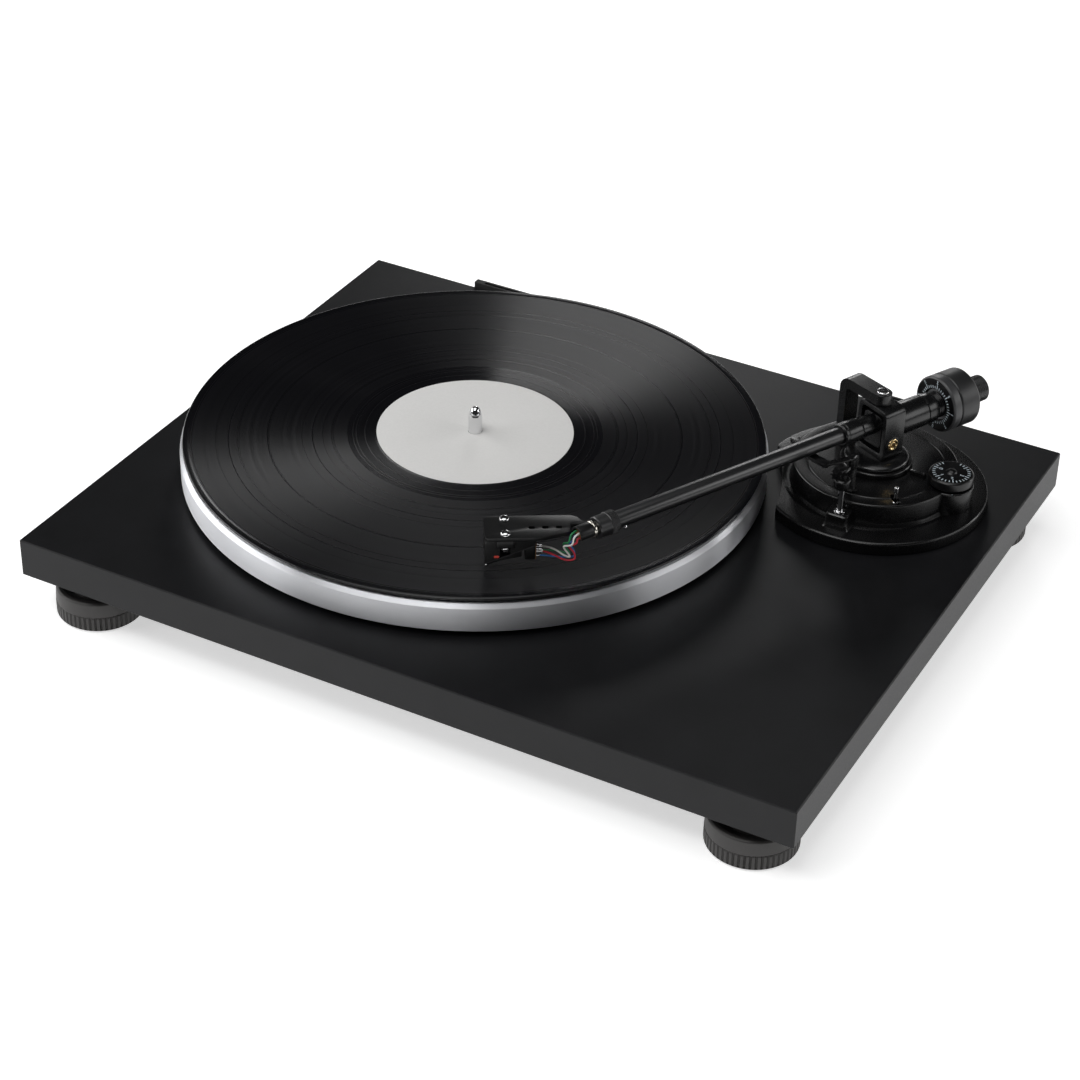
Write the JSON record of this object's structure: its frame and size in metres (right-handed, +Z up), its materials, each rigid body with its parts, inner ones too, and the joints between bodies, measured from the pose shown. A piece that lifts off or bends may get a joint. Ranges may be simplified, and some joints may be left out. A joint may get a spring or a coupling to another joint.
{
  "type": "turntable record player",
  "caption": "Belt-drive turntable with a record on its platter, a straight tonearm with counterweight, headshell and cartridge, cue lift, arm rest and levelling feet.",
  "frame": {"origin": "on the ground plane under the feet, midway between the object's extremes in X and Y", "axes": "+Z up, -Y towards the front edge, +X towards the tonearm side, which is the longest extent"},
  "size_m": [0.423, 0.3516, 0.1061],
  "materials": {
    "black_lacquer": "satin black lacquer on a fibreboard slab",
    "foot_moulding": "matt dark grey moulding, finely ribbed",
    "black_sheet": "black powder-coated sheet",
    "black_moulding": "fine-grained black moulding",
    "green_board": "green laminate",
    "white_jack": "white moulding",
    "red_jack": "red moulding",
    "nickel": "nickel plated",
    "motor_steel": "zinc-plated can",
    "brass": "turned",
    "belt_rubber": "matt black",
    "brushed_aluminium": "turned, satin",
    "black_felt": "short black felt",
    "vinyl": "glossy black, grooved",
    "label_paper": "plain white",
    "polished_steel": "polished",
    "satin_casting": "satin black paint",
    "satin_arm": "satin dark anodised",
    "tube_black": "satin black",
    "axle_steel": "ground",
    "weight_metal": "satin dark grey",
    "dial_black": "black with white ticks",
    "brown_insulator": "brown moulding",
    "cartridge_black": "satin black",
    "lead_white": "insulated wire",
    "lead_red": "insulated wire",
    "lead_green": "insulated wire",
    "lead_blue": "insulated wire"
  },
  "bodies": {
    "chassis": {"plinth": "black_lacquer", "bottom_cover": "black_sheet", "hinge_socket_left": "black_moulding", "hinge_socket_right": "black_moulding", "rear_panel": "black_moulding", "phono_jack_left": "white_jack", "phono_jack_right": "red_jack", "power_inlet": "black_moulding", "circuit_board": "green_board", "motor": "motor_steel", "bearing_housing": "motor_steel", "drive_belt": "belt_rubber", "arm_base": "satin_casting", "arm_pillar": "satin_casting", "arm_arch": "satin_casting", "arch_screw": "polished_steel", "anti_skate_link": "black_moulding", "rest_rod": "polished_steel", "rest_saddle": "black_moulding", "cue_cylinder": "satin_casting"},
    "platter_group": {"platter": "brushed_aluminium", "slipmat": "black_felt", "record": "vinyl", "record_label": "label_paper", "spindle": "polished_steel", "sub_platter": "black_moulding"},
    "pulley": {"motor_pulley": "brass"},
    "yoke": {"arm_yoke": "satin_arm", "bearing_screw_left": "brass", "bearing_screw_right": "brass"},
    "arm": {"arm_hub": "satin_arm", "arm_tube": "tube_black", "arm_axle": "axle_steel"},
    "lock": {"locking_collar": "satin_arm"},
    "headshell_group": {"headshell": "satin_arm", "headshell_terminal": "brown_insulator", "cartridge_body": "cartridge_black", "stylus_assembly": "cartridge_black", "cartridge_screw_left": "polished_steel", "cartridge_screw_right": "polished_steel", "cartridge_nut_left": "polished_steel", "cartridge_nut_right": "polished_steel", "lead_white": "lead_white", "lead_red": "lead_red", "lead_green": "lead_green", "lead_blue": "lead_blue"},
    "weight_bush": {"counterweight_bush": "weight_metal"},
    "weight": {"counterweight": "weight_metal"},
    "force_dial": {"tracking_force_dial": "dial_black"},
    "bias_dial": {"anti_skate_dial": "dial_black"},
    "lifter": {"cue_platform": "black_moulding"},
    "lift_lever": {"cue_lever": "polished_steel"},
    "clip": {"rest_clip": "black_moulding"},
    "selector": {"speed_knob": "black_moulding"},
    "gain_slider": {"gain_switch": "black_moulding"},
    "ground_nut": {"ground_terminal": "nickel"},
    "foot_front_left": {"foot_fl": "foot_moulding"},
    "foot_front_right": {"foot_fr": "foot_moulding"},
    "foot_rear_left": {"foot_rl": "foot_moulding"},
    "foot_rear_right": {"foot_rr": "foot_moulding"}
  },
  "joints": [
    {"name": "platter_spin", "type": "hinge", "parent": "chassis", "child": "platter_group", "pos_m": [-0.05, -0.001, 0.055], "axis": [0, 0, 1], "continuous": true},
    {"name": "motor_spin", "type": "hinge", "parent": "chassis", "child": "pulley", "pos_m": [-0.1193, 0.0683, 0.054], "axis": [0, 0, 1], "continuous": true},
    {"name": "arm_swing", "type": "hinge", "parent": "chassis", "child": "yoke", "pos_m": [0.1398, 0.0808, 0.0795], "axis": [0, 0, 1], "range_deg": [-18.7, 26.3]},
    {"name": "cue_pitch", "type": "hinge", "parent": "yoke", "child": "arm", "pos_m": [0.1398, 0.0808, 0.0795], "axis": [-0.8965, 0.4431, 0], "range_deg": [0, 2.5]},
    {"name": "lift_platform_slide", "type": "slide", "parent": "chassis", "child": "lifter", "axis": [0, 0, 1], "range_m": [0, 0.0019], "stiffness_N_per_m": 0.3, "springref_m": 0.0193},
    {"name": "cue_lever_tilt", "type": "hinge", "parent": "chassis", "child": "lift_lever", "pos_m": [0.1624, 0.052, 0.0616], "axis": [0.788, 0.6157, 0], "range_deg": [0, 40]},
    {"name": "lock_collar_turn", "type": "hinge", "parent": "arm", "child": "lock", "pos_m": [0.06271, -0.07519, 0.0886], "axis": [-0.4431, -0.8965, 0], "range_deg": [0, 75]},
    {"name": "headshell_pull", "type": "slide", "parent": "arm", "child": "headshell_group", "axis": [-0.4431, -0.8965, 0], "range_m": [0, 0.012]},
    {"name": "weight_travel", "type": "slide", "parent": "arm", "child": "weight_bush", "axis": [0.4431, 0.8965, 0], "range_m": [-0.002, 0.003]},
    {"name": "weight_turn", "type": "hinge", "parent": "weight_bush", "child": "weight", "pos_m": [0.16062, 0.12294, 0.0853], "axis": [0.4431, 0.8965, 0], "range_deg": [-360, 540]},
    {"name": "force_dial_turn", "type": "hinge", "parent": "weight", "child": "force_dial", "pos_m": [0.15779, 0.1172, 0.0853], "axis": [0.4431, 0.8965, 0], "continuous": true},
    {"name": "anti_skate_turn", "type": "hinge", "parent": "chassis", "child": "bias_dial", "pos_m": [0.1804, 0.0812, 0.066], "axis": [0, 0, 1], "range_deg": [-60, 210]},
    {"name": "rest_clip_tip", "type": "hinge", "parent": "chassis", "child": "clip", "pos_m": [0.1344, 0.0338, 0.0806], "axis": [1, 0, 0], "range_deg": [0, 90]},
    {"name": "speed_knob_turn", "type": "hinge", "parent": "chassis", "child": "selector", "pos_m": [-0.12, -0.14975, 0.02], "axis": [0, 0, -1], "range_deg": [0, 60]},
    {"name": "gain_switch_slide", "type": "slide", "parent": "chassis", "child": "gain_slider", "axis": [1, 0, 0], "range_m": [0, 0.0032]},
    {"name": "ground_nut_turn", "type": "hinge", "parent": "chassis", "child": "ground_nut", "pos_m": [0.059, 0.17125, 0.0345], "axis": [0, 1, 0], "range_deg": [0, 360]},
    {"name": "foot_front_left_turn", "type": "hinge", "parent": "chassis", "child": "foot_front_left", "pos_m": [-0.182, -0.15225, 0.012], "axis": [0, 0, 1], "range_deg": [-180, 180]},
    {"name": "foot_front_right_turn", "type": "hinge", "parent": "chassis", "child": "foot_front_right", "pos_m": [0.182, -0.15225, 0.012], "axis": [0, 0, 1], "range_deg": [-180, 180]},
    {"name": "foot_rear_left_turn", "type": "hinge", "parent": "chassis", "child": "foot_rear_left", "pos_m": [-0.182, 0.14375, 0.012], "axis": [0, 0, 1], "range_deg": [-180, 180]},
    {"name": "foot_rear_right_turn", "type": "hinge", "parent": "chassis", "child": "foot_rear_right", "pos_m": [0.182, 0.14375, 0.012], "axis": [0, 0, 1], "range_deg": [-180, 180]}
  ],
  "couplings": [
    {"joint": "motor_spin", "follows": "platter_spin", "ratio": 11.667},
    {"joint": "lift_platform_slide", "follows": "cue_pitch", "m_per_rad": 0.04275},
    {"joint": "cue_lever_tilt", "follows": "cue_pitch", "ratio": 16},
    {"joint": "weight_travel", "follows": "weight_turn", "m_per_rad": 0.00031831}
  ]
}
